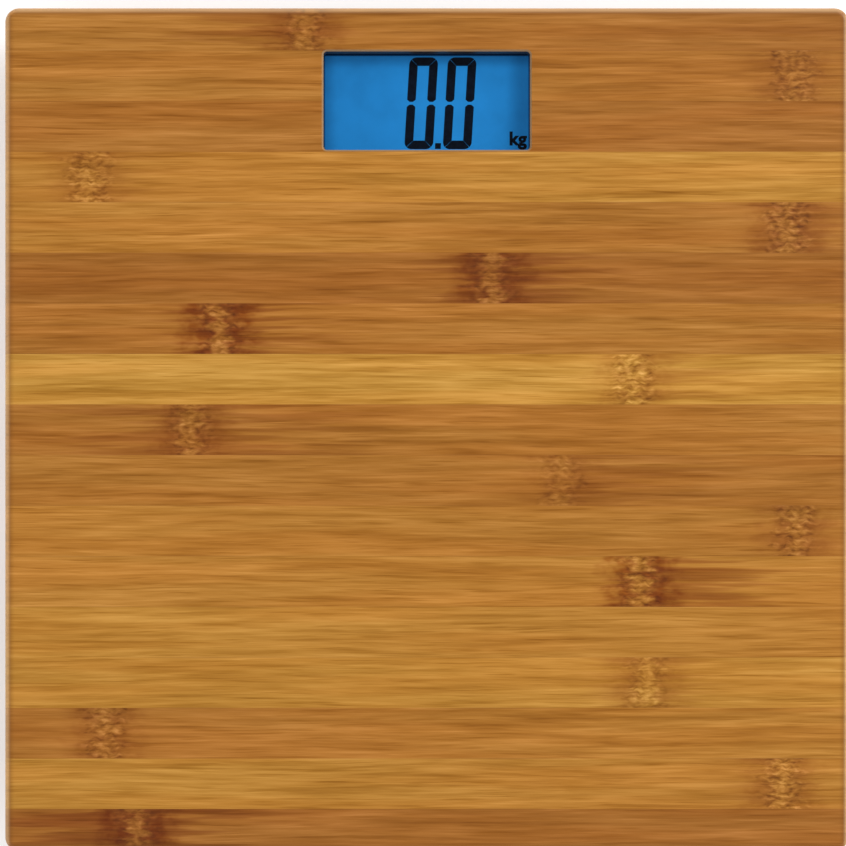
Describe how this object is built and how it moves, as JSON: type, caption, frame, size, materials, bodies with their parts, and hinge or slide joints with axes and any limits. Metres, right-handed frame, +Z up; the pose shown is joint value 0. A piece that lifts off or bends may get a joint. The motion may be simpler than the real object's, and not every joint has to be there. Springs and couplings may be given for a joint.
{
  "type": "digital bathroom scale",
  "caption": "Square bamboo platform scale with a recessed blue backlit LCD under a window, standing on round load-cell feet, with a battery and circuit module beneath.",
  "frame": {"origin": "on the floor under the middle of the platform", "axes": "+Z up through the platform, +Y towards the display edge, +X to the right of a person who reads the display"},
  "size_m": [0.3, 0.3, 0.028],
  "materials": {
    "bamboo": "satin lacquered caramel bamboo, laminated strips with nodes",
    "clear_acrylic": "clear polished acrylic",
    "foam": "closed-cell foam tape",
    "lit_lcd": "blue backlit LCD field",
    "lcd_glass": "polished thin glass",
    "dark_film": "polariser film",
    "white_film": "diffusing film",
    "circuit_board": "solder-masked circuit board",
    "led_plastic": "LED package",
    "white_plastic": "moulded white plastic",
    "grey_silicone": "matte silicone",
    "black_epoxy": "glossy epoxy",
    "smd_ceramic": "ceramic chip parts",
    "black_plastic": "fine-grained moulded black plastic",
    "cell_jacket": "plain printed metal jacket",
    "nickel": "nickel-plated steel",
    "red_lead": "red insulated wire",
    "black_lead": "black insulated wire",
    "carbon_pill": "carbon rubber",
    "zinc_screw": "zinc-plated steel",
    "foot_rubber": "matte rubber",
    "spring_steel": "satin spring steel",
    "white_silicone": "silicone coating",
    "signal_lead": "insulated wires",
    "hot_glue": "translucent hot-melt glue"
  },
  "bodies": {
    "platform": {"bamboo_platform": "bamboo", "display_lens": "clear_acrylic", "lens_gasket": "foam", "front_polariser": "lit_lcd", "lcd_front_glass": "lcd_glass", "lcd_rear_glass": "lcd_glass", "rear_polariser": "dark_film", "diffuser_film": "white_film", "light_guide": "clear_acrylic", "reflector_film": "white_film", "led_board": "circuit_board", "backlight_leds": "led_plastic", "lcd_frame": "white_plastic", "zebra_strip": "grey_silicone", "main_pcb": "circuit_board", "chip_blob": "black_epoxy", "smd_parts": "smd_ceramic", "upper_housing": "black_plastic", "bottom_cover": "black_plastic", "battery_a": "cell_jacket", "battery_b": "cell_jacket", "link_plate": "nickel", "terminal_plates": "nickel", "battery_springs": "nickel", "battery_lead_red": "red_lead", "battery_lead_black": "black_lead", "button_web": "grey_silicone", "pcb_screws": "zinc_screw", "housing_screws": "zinc_screw", "cover_screws": "zinc_screw", "load_cell_fl": "spring_steel", "load_cell_fr": "spring_steel", "load_cell_rl": "spring_steel", "load_cell_rr": "spring_steel", "gauge_cover_fl": "white_silicone", "gauge_cover_fr": "white_silicone", "gauge_cover_rl": "white_silicone", "gauge_cover_rr": "white_silicone", "sensor_bracket_fl": "black_plastic", "sensor_bracket_fr": "black_plastic", "sensor_bracket_rl": "black_plastic", "sensor_bracket_rr": "black_plastic", "load_cell_leads_fl": "signal_lead", "load_cell_leads_fr": "signal_lead", "load_cell_leads_rl": "signal_lead", "load_cell_leads_rr": "signal_lead", "bracket_screws": "zinc_screw", "glue_dabs": "hot_glue"},
    "battery_door": {"battery_door": "black_plastic"},
    "unit_button": {"unit_button": "grey_silicone", "button_pill": "carbon_pill"},
    "foot_fl": {"foot_cup_fl": "black_plastic", "foot_pad_fl": "foot_rubber"},
    "foot_fr": {"foot_cup_fr": "black_plastic", "foot_pad_fr": "foot_rubber"},
    "foot_rl": {"foot_cup_rl": "black_plastic", "foot_pad_rl": "foot_rubber"},
    "foot_rr": {"foot_cup_rr": "black_plastic", "foot_pad_rr": "foot_rubber"}
  },
  "joints": [
    {"name": "battery_door_hinge", "type": "hinge", "parent": "platform", "child": "battery_door", "pos_m": [0, 0.0648, 0.0058], "axis": [-1, 0, 0], "range_deg": [0, 95]},
    {"name": "unit_button_press", "type": "slide", "parent": "platform", "child": "unit_button", "axis": [0, 0, 1], "range_m": [0, 0.0008], "stiffness_N_per_m": 1900, "deforming": ["button_web"]},
    {"name": "foot_flex_fl", "type": "slide", "parent": "platform", "child": "foot_fl", "axis": [0, 0, 1], "range_m": [0, 0.0005], "stiffness_N_per_m": 6000, "springref_m": -0.0008, "deforming": ["load_cell_fl"]},
    {"name": "foot_flex_fr", "type": "slide", "parent": "platform", "child": "foot_fr", "axis": [0, 0, 1], "range_m": [0, 0.0005], "stiffness_N_per_m": 6000, "springref_m": -0.0008, "deforming": ["load_cell_fr"]},
    {"name": "foot_flex_rl", "type": "slide", "parent": "platform", "child": "foot_rl", "axis": [0, 0, 1], "range_m": [0, 0.0005], "stiffness_N_per_m": 6000, "springref_m": -0.0008, "deforming": ["load_cell_rl"]},
    {"name": "foot_flex_rr", "type": "slide", "parent": "platform", "child": "foot_rr", "axis": [0, 0, 1], "range_m": [0, 0.0005], "stiffness_N_per_m": 6000, "springref_m": -0.0008, "deforming": ["load_cell_rr"]}
  ]
}
